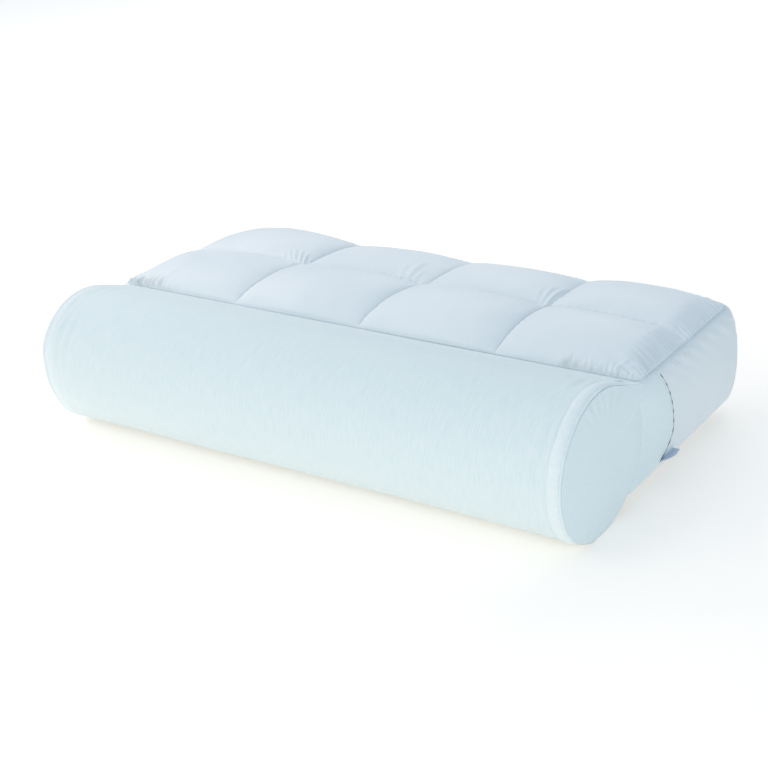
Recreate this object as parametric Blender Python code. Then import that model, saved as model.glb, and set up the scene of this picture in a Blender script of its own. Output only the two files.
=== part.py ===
"""A contour pillow: a boxed, quilted body with a round neck roll sewn along its front edge.

Metres, Z up. The pillow lies on its base with the roll at the front, towards -Y. The origin is at the
bottom centre of its bounding box. Lengths are worked out from two seams: X from the right end of the
roll, Y from the roll's axis, and each piece is moved to the origin as its last step.
"""

import math

import bmesh
import bpy
from mathutils import Vector

MM = 0.001
GAP = 0.3 * MM

# Neck roll
ROLL_LENGTH = 603 * MM
ROLL_DEPTH = 146 * MM
ROLL_HEIGHT = 138 * MM
ROLL_SINK = 1.4 * MM
ROLL_TAIL_TOP_DEG = 69
ROLL_TAIL_FOOT_DEG = 24
ROLL_END_DOME = 5 * MM
ROLL_ARC_STEPS = 38
ROLL_TAIL_STEPS = 3
TAIL_TIP_BELOW = 2 * MM
TAIL_TIP_ABOVE = 0.8 * MM

# Body, between its top seams
BODY_RIGHT = 0.0
BODY_LEFT = -620 * MM
BODY_FRONT = 79 * MM
BODY_BACK = 283 * MM
BODY_TAPER = 27 * MM
TAPER_ALONG = 3
TAPER_BACK = 1.8
SEAM_HEIGHT = 114 * MM
BASE_SEAM_HEIGHT = 14 * MM
BASE_ROUNDING = 55 * MM
BASE_SHAPE = 2.2
SIDE_BULGE = 12 * MM
BACK_BULGE = 12 * MM
SEAM_CORNER = 6 * MM
GUSSET_CORNER = 12 * MM
BULGE_SHAPE = 0.45

# Quilting of the top panel
COLUMN_LINES = (BODY_LEFT, -458 * MM, -301 * MM, -153 * MM, BODY_RIGHT)
ROW_LINE = 177 * MM
COLUMNS = 4
ROWS = 2
CROSSING_HEIGHT = 125.5 * MM
ROW_LINE_RISE = 0.55
SEAM_FADE = 0.042
PUFF = 18 * MM
PUFF_SHAPE = 0.52
PANEL_STEPS_X = 12
PANEL_STEPS_Y = 10
GUSSET_STEPS = 10

# Curved crease in each end of the gusset, as an arc behind the roll
CREASE_TOP = 108 * MM
CREASE_BELLY = 137 * MM
CREASE_BELLY_HEIGHT = 52 * MM
CREASE_FOOT = 112 * MM
CREASE_FADE = (16 * MM, 40 * MM)
LOBE_SWELL = 3 * MM
CREASE_DEPTH = 5.5 * MM
CREASE_WIDTH = 9 * MM
CREASE_STEP = 5

# Sewn trim
PIPING_RADIUS = 1.5 * MM
PIPING_ROOM = 3.8 * MM
PIPING_SPACING = 12 * MM
BEAD_RADIUS = 4.4 * MM
BEAD_FROM_END = 10 * MM
BEAD_INSET = 3.2 * MM
BEAD_STEPS = 48
GROOVE_DEPTH = 9.6 * MM
GROOVE_HALF = 4.8 * MM
GROOVE_TOP_DEG = 32
GROOVE_FOOT_DEG = 324
GROOVE_TAPER_DEG = 16
LABEL_LENGTH = 29 * MM
LABEL_REACH = 9 * MM
LABEL_THICKNESS = 1.2 * MM
LABEL_SKEW = 0.7 * MM
LABEL_DROOP = 2 * MM
LABEL_CURL = 0.8 * MM
LABEL_FOOT = (5.1 * MM, 118.5 * MM, 24 * MM)

# Middle of the bounding box, from the roll's right end and its axis
MIDDLE_X = -308 * MM
MIDDLE_Y = 108.6 * MM

COLOURS = {
    "pillow_body": ((0.70, 0.79, 0.87), 0.55),
    "neck_roll": ((0.72, 0.83, 0.87), 0.75),
    "roll_bead_right": ((0.78, 0.87, 0.90), 0.75),
    "roll_bead_left": ((0.78, 0.87, 0.90), 0.75),
    "top_piping": ((0.62, 0.74, 0.82), 0.60),
    "side_label": ((0.62, 0.67, 0.76), 0.60),
}


def clear_scene():
    for obj in list(bpy.data.objects):
        bpy.data.objects.remove(obj, do_unlink=True)


def new_collection(name):
    collection = bpy.data.collections.new(name)
    bpy.context.scene.collection.children.link(collection)
    return collection


def cloth(name):
    """The piece's own material: colour, roughness and no metal."""
    colour, roughness = COLOURS[name]
    material = bpy.data.materials.new(name)
    material.use_nodes = True
    shader = material.node_tree.nodes["Principled BSDF"]
    shader.inputs["Base Color"].default_value = (*colour, 1)
    shader.inputs["Roughness"].default_value = roughness
    shader.inputs["Metallic"].default_value = 0
    return material


def to_origin(place):
    """Moves a point from the seams' frame to the row's origin."""
    return place - Vector((MIDDLE_X, MIDDLE_Y, 0))


def finish_mesh(bm, name, collection):
    """Makes the bmesh an object of its own, smooth, facing out and moved to the origin."""
    bmesh.ops.translate(bm, verts=bm.verts, vec=to_origin(Vector()))
    bmesh.ops.recalc_face_normals(bm, faces=bm.faces)
    mesh = bpy.data.meshes.new(name)
    bm.to_mesh(mesh)
    bm.free()
    mesh.shade_smooth()
    mesh.materials.append(cloth(name))
    obj = bpy.data.objects.new(name, mesh)
    collection.objects.link(obj)
    return obj


def blend(start, end, share):
    return start + (end - start) * share


def smooth_step(value):
    value = min(max(value, 0), 1)
    return value * value * (3 - 2 * value)


def soft_steps(count):
    """Fractions from 0 to 1 that lie closer together at both ends, where the cloth turns fastest."""
    return [(1 - math.cos(math.pi * i / count)) / 2 for i in range(count + 1)]


# Neck roll

def roll_outline(angle_deg):
    """(y, z) of the roll's round wall, a little flat where it meets the floor."""
    angle = math.radians(angle_deg)
    half = ROLL_HEIGHT / 2
    rise = half if math.sin(angle) > 0 else half + ROLL_SINK
    return ROLL_DEPTH / 2 * math.cos(angle), max(0.0, half + rise * math.sin(angle))


def wall_arc():
    """Points of the round wall, from the tail's top over the front and under to the tail's foot."""
    turn = 360 - ROLL_TAIL_TOP_DEG + ROLL_TAIL_FOOT_DEG
    return [roll_outline(ROLL_TAIL_TOP_DEG + turn * i / ROLL_ARC_STEPS) for i in range(ROLL_ARC_STEPS + 1)]


def roll_section():
    """Points round the roll: its round wall, then the tail that runs back to the body's front seam."""
    arc = wall_arc()
    tip_y = BODY_FRONT - PIPING_RADIUS - 2 * GAP
    lips = ((tip_y, SEAM_HEIGHT - TAIL_TIP_BELOW), (tip_y, SEAM_HEIGHT + TAIL_TIP_ABOVE))
    foot = line_points(arc[-1], lips[0], ROLL_TAIL_STEPS)
    top = line_points(lips[1], arc[0], ROLL_TAIL_STEPS)
    return arc + foot[1:] + top[:-1]


def end_section():
    """Points round the end disc: the round wall alone, as many as the roll's section has."""
    steps = 2 * ROLL_TAIL_STEPS + 1
    behind = ROLL_TAIL_TOP_DEG - ROLL_TAIL_FOOT_DEG
    return wall_arc() + [roll_outline(ROLL_TAIL_FOOT_DEG + behind * i / steps) for i in range(1, steps)]


def line_points(start, end, steps):
    return [tuple(blend(a, b, i / steps) for a, b in zip(start, end)) for i in range(steps + 1)]


def section_angle(y, z):
    """Angle round the roll's axis in degrees: over the front from the tail's top, and under to its foot."""
    return math.degrees(math.atan2(z - ROLL_HEIGHT / 2, y)) % 360


def groove_share(angle_deg):
    """1 where the bead's groove is full, 0 where the roll is pressed against the body."""
    return smooth_step(min(angle_deg - GROOVE_TOP_DEG, GROOVE_FOOT_DEG - angle_deg) / GROOVE_TAPER_DEG)


def end_rows():
    """One end's rings: distance in from the end, share of the radius, inset, share of the groove's depth."""
    disc = [(-ROLL_END_DOME * (1 - share ** 2), share, 0.0, 0.0) for share in (0.3, 0.55, 0.78, 0.92)]
    near, far = BEAD_FROM_END - GROOVE_HALF, BEAD_FROM_END + GROOVE_HALF
    rim = [
        (-0.6 * MM, 1, 1.3 * MM, 0.0),
        (0.6 * MM, 1, 0.2 * MM, 0.0),
        (near - 0.6 * MM, 1, 0.0, 0.0),
        (near, 1, 0.0, 1.0),
        (far, 1, 0.0, 1.0),
        (far + 0.4 * MM, 1, 0.2 * MM, 0.0),
    ]
    return disc + rim


def neck_roll(collection):
    section = roll_section()
    disc = end_section()
    ends = end_rows()
    middle = [ROLL_LENGTH * share for share in (0.045, 0.12, 0.22, 0.34, 0.5, 0.66, 0.78, 0.88, 0.955)]
    rows = [(-along, *others) for along, *others in ends]
    rows += [(-along, 1, 0.0, 0.0) for along in middle]
    rows += [(along - ROLL_LENGTH, *others) for along, *others in reversed(ends)]
    bm = bmesh.new()
    bmesh.ops.create_uvsphere(bm, u_segments=len(section), v_segments=len(rows) + 1, radius=1)
    centre = ROLL_HEIGHT / 2
    rings = {}
    for vert in bm.verts:
        latitude = math.acos(max(-1, min(1, vert.co.z))) / math.pi
        rings.setdefault(round(latitude * (len(rows) + 1)) - 1, []).append(vert)
    for row, ring in rings.items():
        if row < 0 or row >= len(rows):
            ring[0].co = (ROLL_END_DOME if row < 0 else -ROLL_LENGTH - ROLL_END_DOME, 0, centre)
            continue
        along, share, inset, groove = rows[row]
        ring.sort(key=lambda vert: (math.atan2(vert.co.y, vert.co.x) + 0.001) % math.tau)
        for vert, (y, z) in zip(ring, section if share == 1 else disc):
            depth = inset + groove * GROOVE_DEPTH * groove_share(section_angle(y, z))
            scale = share * (1 - depth / math.hypot(y, z - centre))
            vert.co = (along, y * scale, blend(centre, z, scale))
    return finish_mesh(bm, "neck_roll", collection)


def outline_at(angle_deg, section):
    """(y, z) where the roll's outline, tail and all, lies at an angle round its axis."""
    angles = [section_angle(y, z) for y, z in section]
    pairs = sorted(zip(angles, section))
    for (first, start), (last, end) in zip(pairs, pairs[1:]):
        if first <= angle_deg <= last:
            share = (angle_deg - first) / (last - first)
            return tuple(blend(a, b, share) for a, b in zip(start, end))
    return pairs[-1][1]


def tube(name, route, radius, roundness, collection):
    """A tube along (place, share of the radius) pairs, as a curve object with its ends filled."""
    curve = bpy.data.curves.new(name, "CURVE")
    curve.dimensions = "3D"
    curve.bevel_depth = radius
    curve.bevel_resolution = roundness
    curve.use_fill_caps = True
    spline = curve.splines.new("POLY")
    spline.points.add(len(route) - 1)
    for point, (place, share) in zip(spline.points, route):
        point.co = (*to_origin(place), 1)
        point.radius = share
    curve.materials.append(cloth(name))
    obj = bpy.data.objects.new(name, curve)
    collection.objects.link(obj)
    return obj


def roll_bead(name, x, collection):
    """A soft tube round one end of the roll. It thins out where the roll is pressed against the body."""
    section = roll_section()
    first = GROOVE_TOP_DEG + GROOVE_TAPER_DEG / 2
    last = GROOVE_FOOT_DEG - GROOVE_TAPER_DEG / 2
    centre = ROLL_HEIGHT / 2
    route = []
    for step in range(BEAD_STEPS + 1):
        angle = blend(first, last, step / BEAD_STEPS)
        y, z = outline_at(angle, section)
        thickness = blend(0.3, 1, smooth_step(min(angle - first, last - angle) / GROOVE_TAPER_DEG))
        scale = 1 - BEAD_INSET * blend(0.2, 1, thickness) / math.hypot(y, z - centre)
        z = max(blend(centre, z, scale), BEAD_RADIUS * thickness + GAP)
        route.append((Vector((x, y * scale, z)), thickness))
    return tube(name, route, BEAD_RADIUS, 2, collection)


# Body

def contact_y(z):
    """Where the body's front wall stands: against the roll, and under its tail up to the seam."""
    foot_y, foot_z = roll_outline(ROLL_TAIL_FOOT_DEG)
    if z > foot_z:
        share = (z - foot_z) / (SEAM_HEIGHT - foot_z)
        return blend(foot_y + 3 * GAP, BODY_FRONT + PIPING_ROOM, share)
    half = ROLL_HEIGHT / 2
    rise = half if z > half else half + ROLL_SINK
    sine = max(-1, min(1, (z - half) / rise))
    return ROLL_DEPTH / 2 * math.sqrt(1 - sine ** 2) + 3 * GAP


def crease_y(z):
    """Distance behind the roll's axis of the curved crease in the gusset's ends, at a height."""
    span = (SEAM_HEIGHT if z > CREASE_BELLY_HEIGHT else BASE_SEAM_HEIGHT) - CREASE_BELLY_HEIGHT
    end = CREASE_TOP if z > CREASE_BELLY_HEIGHT else CREASE_FOOT
    return blend(CREASE_BELLY, end, ((z - CREASE_BELLY_HEIGHT) / span) ** 2)


def rounded_plan(x, y, rectangle, corner):
    """A point of a rectangle moved to the same place in one with round corners, and the way out there."""
    left, right, front, back = rectangle
    middle = Vector(((left + right) / 2, (front + back) / 2))
    half = Vector(((right - left) / 2, (back - front) / 2))
    offset = Vector((x, y)) - middle
    size = max(abs(offset.x) / half.x, abs(offset.y) / half.y)
    if size < 1e-6:
        return Vector((x, y)), Vector((0, 0))
    edge = offset / size
    flat = half - Vector((corner, corner))
    inner = Vector((max(-flat.x, min(flat.x, edge.x)), max(-flat.y, min(flat.y, edge.y))))
    way_out = edge - inner
    way_out.normalize()
    return middle + (inner + way_out * corner) * size, way_out


def bulge_shape(share):
    """0 at both seams of the gusset, 1 half way up."""
    return (1 - (2 * share - 1) ** 2) ** BULGE_SHAPE


def panel_place(u, v):
    """Place in a sewn square, from -1 to 1 each way."""
    column = min(int(u * COLUMNS), COLUMNS - 1)
    row = min(int(v * ROWS), ROWS - 1)
    return 2 * (u * COLUMNS - column) - 1, 2 * (v * ROWS - row) - 1


def top_height(u, v):
    """Height of the quilted top: the sewn lines sag between the seams, and each square puffs up."""
    inward = min(u, 1 - u)
    across = blend(ROW_LINE_RISE, 1, smooth_step(inward * COLUMNS)) * smooth_step(inward / SEAM_FADE)
    along = 1 - (2 * v - 1) ** 2
    sewn = blend(SEAM_HEIGHT, CROSSING_HEIGHT, across * along)
    a, b = panel_place(u, v)
    return sewn + PUFF * ((1 - a * a) * (1 - b * b)) ** PUFF_SHAPE


def base_height(x, y, rectangle):
    """Height of the crowned base: flat on the floor but for its rounded rim."""
    left, right, front, back = rectangle
    inward = min(x - left, right - x, y - front, back - y)
    rim = min(max(1 - inward / BASE_ROUNDING, 0), 1)
    return BASE_SEAM_HEIGHT * rim ** BASE_SHAPE


def column_x(u):
    column = min(int(u * COLUMNS), COLUMNS - 1)
    return blend(COLUMN_LINES[column], COLUMN_LINES[column + 1], u * COLUMNS - column)


def row_y(v, front, back):
    row_line = blend(front, back, (ROW_LINE - BODY_FRONT) / (BODY_BACK - BODY_FRONT))
    return blend(front, row_line, v * 2) if v < 0.5 else blend(row_line, back, v * 2 - 1)


def level(z, swell):
    """The body's rectangle at a height, and the radius of its corners."""
    sides = SIDE_BULGE * swell
    rectangle = (
        BODY_LEFT + PIPING_ROOM - sides,
        BODY_RIGHT - PIPING_ROOM + sides,
        contact_y(z),
        BODY_BACK - PIPING_ROOM + BACK_BULGE * swell,
    )
    return rectangle, blend(SEAM_CORNER, GUSSET_CORNER, swell)


def follow_crease(y, z, front, back):
    """Slides a point of an end wall along it, so that one row of points lies in the crease."""
    before = row_y(soft_steps(PANEL_STEPS_Y)[CREASE_STEP] / ROWS, front, back)
    crease = crease_y(z)
    if y <= before:
        return blend(front, crease, (y - front) / (before - front))
    return blend(crease, back, (y - before) / (back - before))


def end_wall_depth(y, z, swell):
    """How far the crease draws the end wall in, and the lobe before it swells out."""
    crease = crease_y(z)
    fade = smooth_step((z - CREASE_FADE[0]) / (CREASE_FADE[1] - CREASE_FADE[0]))
    draw = fade * CREASE_DEPTH * math.exp(-(((y - crease) / CREASE_WIDTH) ** 2))
    front = contact_y(z)
    lobe = 0.0
    if front < y < crease:
        lobe = LOBE_SWELL * math.sin(math.pi * (y - front) / (crease - front))
    return (lobe - draw) * swell ** 2


def taper(x, y):
    """The left end is drawn in towards its back corner."""
    leftward = (BODY_RIGHT - x) / (BODY_RIGHT - BODY_LEFT)
    backward = (y - BODY_FRONT) / (BODY_BACK - BODY_FRONT)
    return x + BODY_TAPER * max(leftward, 0) ** TAPER_ALONG * max(backward, 0) ** TAPER_BACK


def body_point(u, v, w):
    z = blend(BASE_SEAM_HEIGHT, SEAM_HEIGHT, w)
    swell = bulge_shape(w)
    rectangle, corner = level(z, swell)
    left, right, front, back = rectangle
    plain = column_x(u)
    x = blend(left, right, (plain - BODY_LEFT) / (BODY_RIGHT - BODY_LEFT))
    y = row_y(v, front, back)
    on_wall = 0 < w < 1
    if on_wall and u in (0, 1):
        y = follow_crease(y, z, front, back)
    place, way_out = rounded_plan(x, y, rectangle, corner)
    if on_wall and abs(way_out.x) > 0.5:
        place.x += math.copysign(end_wall_depth(place.y, z, swell), way_out.x) * abs(way_out.x)
    if w == 1:
        z = top_height(u, v)
    if w == 0:
        z = base_height(x, y, rectangle)
    return taper(place.x, place.y), place.y, z


def cut_box(x_lines, y_lines, z_lines):
    """A unit box cut by planes at the given fractions of its sides."""
    bm = bmesh.new()
    bmesh.ops.create_cube(bm, size=1)
    bmesh.ops.translate(bm, verts=bm.verts, vec=(0.5, 0.5, 0.5))
    for axis, lines in enumerate((x_lines, y_lines, z_lines)):
        normal = Vector([float(axis == i) for i in range(3)])
        for line in lines[1:-1]:
            everything = bm.verts[:] + bm.edges[:] + bm.faces[:]
            bmesh.ops.bisect_plane(bm, geom=everything, dist=1e-6, plane_co=normal * line, plane_no=normal)
    return bm


def nearest(value, lines):
    return min(lines, key=lambda line: abs(line - value))


def pillow_body(collection):
    panel_x = soft_steps(PANEL_STEPS_X)
    panel_y = soft_steps(PANEL_STEPS_Y)
    x_lines = sorted({(column + share) / COLUMNS for column in range(COLUMNS) for share in panel_x})
    y_lines = sorted({(row + share) / ROWS for row in range(ROWS) for share in panel_y})
    z_lines = soft_steps(GUSSET_STEPS)
    bm = cut_box(x_lines, y_lines, z_lines)
    for vert in bm.verts:
        u, v, w = (nearest(value, lines) for value, lines in zip(vert.co, (x_lines, y_lines, z_lines)))
        vert.co = body_point(u, v, w)
    return finish_mesh(bm, "pillow_body", collection)


def piping_route():
    """Points of the top seam, a rectangle with round corners, anticlockwise from above."""
    width = BODY_RIGHT - BODY_LEFT
    depth = BODY_BACK - BODY_FRONT
    corner = SEAM_CORNER + PIPING_ROOM
    corners = (
        (BODY_RIGHT - corner, BODY_FRONT + corner, -90),
        (BODY_RIGHT - corner, BODY_BACK - corner, 0),
        (BODY_LEFT + corner, BODY_BACK - corner, 90),
        (BODY_LEFT + corner, BODY_FRONT + corner, 180),
    )
    runs = (depth, width, depth, width)
    corner_steps = 4
    route = []
    for index, (x, y, start) in enumerate(corners):
        for step in range(corner_steps + 1):
            angle = math.radians(start + 90 * step / corner_steps)
            route.append(Vector((x + corner * math.cos(angle), y + corner * math.sin(angle), SEAM_HEIGHT)))
        after_x, after_y, after_start = corners[(index + 1) % 4]
        after = math.radians(after_start)
        end = Vector((after_x + corner * math.cos(after), after_y + corner * math.sin(after), SEAM_HEIGHT))
        pieces = round(runs[index] / PIPING_SPACING)
        route += [route[-1].lerp(end, i / pieces) for i in range(1, pieces)]
    return [Vector((taper(point.x, point.y), point.y, point.z)) for point in route]


def top_piping(collection):
    obj = tube("top_piping", [(place, 1) for place in piping_route()], PIPING_RADIUS, 1, collection)
    obj.data.splines[0].use_cyclic_u = True
    return obj


def side_label(collection):
    """A small folded label that stands out of the foot of the right crease and droops at its fold."""
    bm = bmesh.new()
    bmesh.ops.create_grid(bm, x_segments=6, y_segments=4, size=0.5)
    foot = Vector(LABEL_FOOT)
    for vert in bm.verts:
        across, out = vert.co.x, vert.co.y + 0.5
        droop = -LABEL_DROOP * out ** 2 + LABEL_CURL * math.cos(2 * math.pi * across) * out
        inward = LABEL_SKEW * (across + 0.5)
        vert.co = foot + Vector((LABEL_REACH * out - inward, LABEL_LENGTH * across, droop))
    bmesh.ops.solidify(bm, geom=bm.faces[:], thickness=LABEL_THICKNESS)
    return finish_mesh(bm, "side_label", collection)


def main():
    clear_scene()
    parts = new_collection("contour_pillow")
    pillow_body(parts)
    neck_roll(parts)
    roll_bead("roll_bead_right", -BEAD_FROM_END, parts)
    roll_bead("roll_bead_left", BEAD_FROM_END - ROLL_LENGTH, parts)
    top_piping(parts)
    side_label(parts)


main()
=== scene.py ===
import math

import bmesh
import bpy
from mathutils import Matrix, Vector, noise


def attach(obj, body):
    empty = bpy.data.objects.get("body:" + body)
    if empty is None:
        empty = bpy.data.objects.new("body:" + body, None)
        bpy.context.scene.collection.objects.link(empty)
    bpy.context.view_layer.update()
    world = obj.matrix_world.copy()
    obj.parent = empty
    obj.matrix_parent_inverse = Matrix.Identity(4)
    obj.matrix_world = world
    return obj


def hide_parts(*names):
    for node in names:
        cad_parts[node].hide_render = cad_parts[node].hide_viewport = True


bl_info = {
    "name": "Contour pillow",
    "version": (1, 0, 0),
    "blender": (4, 5, 0),
    "location": "View3D > Sidebar > Contour pillow",
    "description": "Dresses a packed contour pillow with its quilted body, neck roll and sewn trim.",
    "category": "Object",
}

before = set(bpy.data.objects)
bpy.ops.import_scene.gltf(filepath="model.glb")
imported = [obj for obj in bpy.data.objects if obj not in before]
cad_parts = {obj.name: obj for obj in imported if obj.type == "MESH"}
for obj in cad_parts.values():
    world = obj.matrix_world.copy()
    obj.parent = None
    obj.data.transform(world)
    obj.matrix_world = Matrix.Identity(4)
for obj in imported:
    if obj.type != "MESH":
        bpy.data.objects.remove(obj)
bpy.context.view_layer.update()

MM = 0.001

# From the seams' frame, X from the roll's right end and Y from its axis, to the row's frame
SEAMS_TO_ROW = Vector((308 * MM, -108.6 * MM, 0))

# Neck roll
ROLL_LENGTH = 603 * MM
ROLL_DEPTH = 146 * MM
ROLL_HEIGHT = 138 * MM
ROLL_CENTRE = ROLL_HEIGHT / 2
ROLL_SINK = 1.4 * MM
WALL_ARC_STEPS = 150
TUBE_STEPS = 150

# Tail of the roll: where it leaves the round wall, and its lip's foot and top below the front seam
TAIL_TOP_DEG = 69
TAIL_FOOT_DEG = 24
TAIL_LIP_BELOW_SEAM = (2 * MM, 0.2 * MM)
TAIL_STEPS = 12

# End discs: a low dome with a small round edge, drawn out at its back, and puckered in two sectors.
# A sector is where it starts, where it ends and how softly it fades, in degrees round the roll.
END_DOME = 5 * MM
END_ROUND = 1.6 * MM
END_FLARE = 3.5 * MM
DRAWN_OUT_FROM = 0.2
DRAWN_OUT_FADE = 0.75
DRAWN_OUT_HEIGHT = 24 * MM
DISC_STEPS = 24
ROUND_STEPS = 4
TOP_PUCKERS = (52, 105, 18)
FOOT_PUCKERS = (240, 290, 15)
PUCKERS_ROUND = 34
FINE_PUCKERS_ROUND = 71

# The roll's left end is drawn in, low at its front
LEFT_END_DRAWN_IN = 5 * MM
LEFT_END_REACH = 45 * MM
LEFT_END_FADE = 40 * MM
LEFT_END_SECTOR = (180, 202, 30)

# The tube is pulled up in hoops beside its beads, and lies smooth by the floor, the ends and the tail
HOOP_PITCH = 2.1 * math.tau * MM
HOOPS_FROM_END = (14.5 * MM, 30 * MM, 14 * MM)
HELD_NEAR_FLOOR = 2 * MM
HELD_FADE = 12 * MM
HELD_BY_END = 6 * MM
TAIL_SECTOR = (24, 64, 10)

# Beads and their grooves
BEAD_FROM_END = 8.6 * MM
BEAD_HALF_WIDTH = 6.8 * MM
BEAD_HALF_THICKNESS = 3.2 * MM
# How far in each bead's middle lies: the left one is pulled almost flush with the tube
BEAD_INSETS = {"right": 2.0 * MM, "left": 2.75 * MM}
# Shares of its thickness and width that a bead keeps at its tips
BEAD_TIP_THICKNESS = 0.12
BEAD_TIP_WIDTH = 0.2
BEAD_OFF_FLOOR = 0.3 * MM
BEAD_STEPS = 150
BEAD_SIDES = 24
GROOVE_DEPTH = 5.6 * MM
GROOVE_FROM_END = (2.6 * MM, 13.0 * MM)
GROOVE_STEPS = 16
GROOVE_TOP_DEG = 32
GROOVE_FOOT_DEG = 324
GROOVE_TAPER_DEG = 16

# Body
BODY_LEFT = -620 * MM
BODY_FRONT = 79 * MM
BODY_BACK = 283 * MM
BODY_TAPER = 27 * MM
SEAM_HEIGHT = 114 * MM
BASE_SEAM_HEIGHT = 14 * MM
BASE_ROUNDING = 55 * MM
SIDE_BULGE = 12 * MM
BACK_BULGE = 12 * MM
SEAM_CORNER = 9 * MM
BACK_SEAM_CORNER = 16 * MM
FRONT_CORNER = 2 * MM
BACK_CORNER = 24 * MM
SEAM_ROOM = 0.6 * MM
ROLL_ROOM = 0.6 * MM
TOP_STEPS = (384, 160)
WALL_STEPS = 24
BASE_STEPS = (96, 36)
# Shares of the body's width and depth that the base's own grid spans
BASE_GRID = (0.985, 0.96)

# Quilted top
COLUMNS = 4
ROWS = 2
COLUMN_LINES = (BODY_LEFT, -458 * MM, -301 * MM, -153 * MM, 0.0)
# How far each sewn column line bends towards the right end: at the front, the row line and the back
COLUMN_BENDS = (
    (0, -4 * MM, -5 * MM, 4 * MM, 0),
    (0, 12 * MM, 11 * MM, 9 * MM, 0),
    (0, 4 * MM, 4 * MM, 2 * MM, 0),
)
ROW_LINE = 177 * MM
CROSSING_HEIGHT = 125.5 * MM
# Share of the crossings' rise that the row line has near the top's ends, and the share of the top's
# width over which it gets up to that from the end seam
ROW_LINE_AT_ENDS = 0.55
ROW_LINE_RISES_OVER = 0.042
# Fullness of each square, front row first, from the left end to the right
FULLNESS = ((0.95, 0.98, 0.98, 0.98), (1.0, 0.66, 0.66, 0.95))
# How far the filling lifts the column lines of each row of squares between the seams that hold them
LINE_LIFT = (4 * MM, 0)
# Step to each side that the top's slopes are taken over, as a share of its width and depth
SLOPE_STEP = 0.0015
# How fast the gathers and folds grow inside the top's seams, for each share of its width and depth
RELIEF_GROWS = (500, 220)

# Gathers: how far past its ends a stretch fades, in mm, the seeds of its noise, and how far along
# the pattern moves from one column line to the next and from one side of the row line to the other
GATHERS_FADE = 10
FIRST_GATHER_SEED = 30
SEEDS_A_GATHER = 5
COLUMN_SHIFT = 60
ROW_SHIFT = 40

# Crease of each end, and the lobe that it draws in before it
CREASE_BELLY = 125 * MM
CREASE_TOP = 105 * MM
CREASE_FOOT = 80 * MM
CREASE_BELLY_HEIGHT = 52 * MM
CREASE_DEPTH = 2.6 * MM
CREASE_HALF_WIDTH = 1.2 * MM
CREASE_STEP = 1.6 * MM
CREASE_STEP_REACH = 16 * MM
CREASE_STARTS = 16 * MM
CREASE_DEEPENS_OVER = 24 * MM
LOBE_DRAWN_IN = 9.3 * MM
LOBE_SWELL = 0.6 * MM
LOBE_EDGE = 1 * MM
END_SHAPED_WITHIN = 50 * MM
END_SHAPED_FADE = 45 * MM

# Soft folds of the gusset: where they start behind the crease, how softly, and where seams hold them
FOLDS_BEHIND_CREASE = 3 * MM
FOLDS_FADE = 14 * MM
HELD_UNDER_SEAM = 4 * MM
HELD_OVER_BASE = 10 * MM
BACK_SHIFT = 500 * MM

# Sewn trim
PIPING_RADIUS = 0.65 * MM
PIPING_SPACING = 3 * MM
PIPING_SIDES = 10
CORNER_STEPS = 8
# Below this, the sideways part of a cord's way is too short to hang its sides on
NEARLY_UPRIGHT = 0.2
STITCH_LENGTH = 5 * MM
STITCH_GAP = 5 * MM
STITCH_RADIUS = 0.42 * MM
# The thin dark line down each crease is painted shade: a fine dark cord that stands in for the crease's
# shadow line. The stitches along it are real dark stitches.
SHADE_LINE_RADIUS = 0.12 * MM
STITCH_AND_SHADE_LINE_SIDES = 8
SHADE_LINE_STEPS = 60
STITCH_AND_SHADE_LINE_TOP = SEAM_HEIGHT - 4 * MM
STITCH_AND_SHADE_LINE_FOOT = 24 * MM
STITCH_AND_SHADE_LINE_BEHIND_CREASE = 2.6 * MM
STITCH_AND_SHADE_LINE_PROUD = 0.25 * MM
LABEL_FOOT = Vector((9.5 * MM, 105 * MM, 25 * MM))
LABEL_LENGTH = 28 * MM
LABEL_HALF_REACH = 5.4 * MM
LABEL_HALF_THICKNESS = 0.7 * MM
LABEL_TILT_DEG = 8
LABEL_CURL_DEG = 22
LABEL_CURL_RISE = 1.2 * MM
LABEL_WAVE = 0.5 * MM
LABEL_SWAY = 0.6 * MM
LABEL_STEPS = 28
LABEL_SIDES = 20

# Cotton and polyester fibre
FIBRE_IOR = 1.5
SHEEN_ROUGHNESS = 0.5

# Deeper tones of the trim's cloths
BEAD_DEEPER = "#e2ecec"
PIPING_DEEPER = "#ccd9e0"
LABEL_DEEPER = "#a9b9d0"

# Studio: the floor's glow grows to the far one between two distances from the middle, in metres
FLOOR_HALF_SIZE = 9
FLOOR_COLOUR = "#fffaf4"
GLOW_COLOUR = "#fff5ea"
GLOW_GROWS = (0.9, 2.2)
FAR_GLOW = 0.45
WARM_LIGHT = (1.0, 0.872, 0.79)
COOL_LIGHT = (0.9, 0.895, 0.86)

# Soft boxes: name, place and size in metres, strength as a share of the key's, and colour
SOFT_BOXES = (
    ("key", (-1.5, -1.9, 1.7), 2.2, 1.0, WARM_LIGHT),
    ("left_fill", (-1.2, 0.1, 0.9), 1.0, 0.26, WARM_LIGHT),
    ("camera_fill", (1.6, -1.9, 0.9), 1.6, 0.74, COOL_LIGHT),
    ("back_fill", (-0.6, 2.0, 1.6), 1.8, 0.68, WARM_LIGHT),
    ("top_fill", (0, 0, 2.4), 2.2, 0.25, WARM_LIGHT),
)

# Camera: its place, and its right and up vectors, in the row's frame
CAMERA_PLACE = (0.83762, -1.15117, 0.67942)
CAMERA_RIGHT = Vector((0.82707, 0.55776, -0.06972))
CAMERA_UP = Vector((-0.17710, 0.37629, 0.90942))
SENSOR_WIDTH = 36
CLIP_START = 0.05


# Shared shaping

def blend(start, end, share):
    """The value that lies at a share of the way from start to end."""
    return start + (end - start) * share


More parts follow.
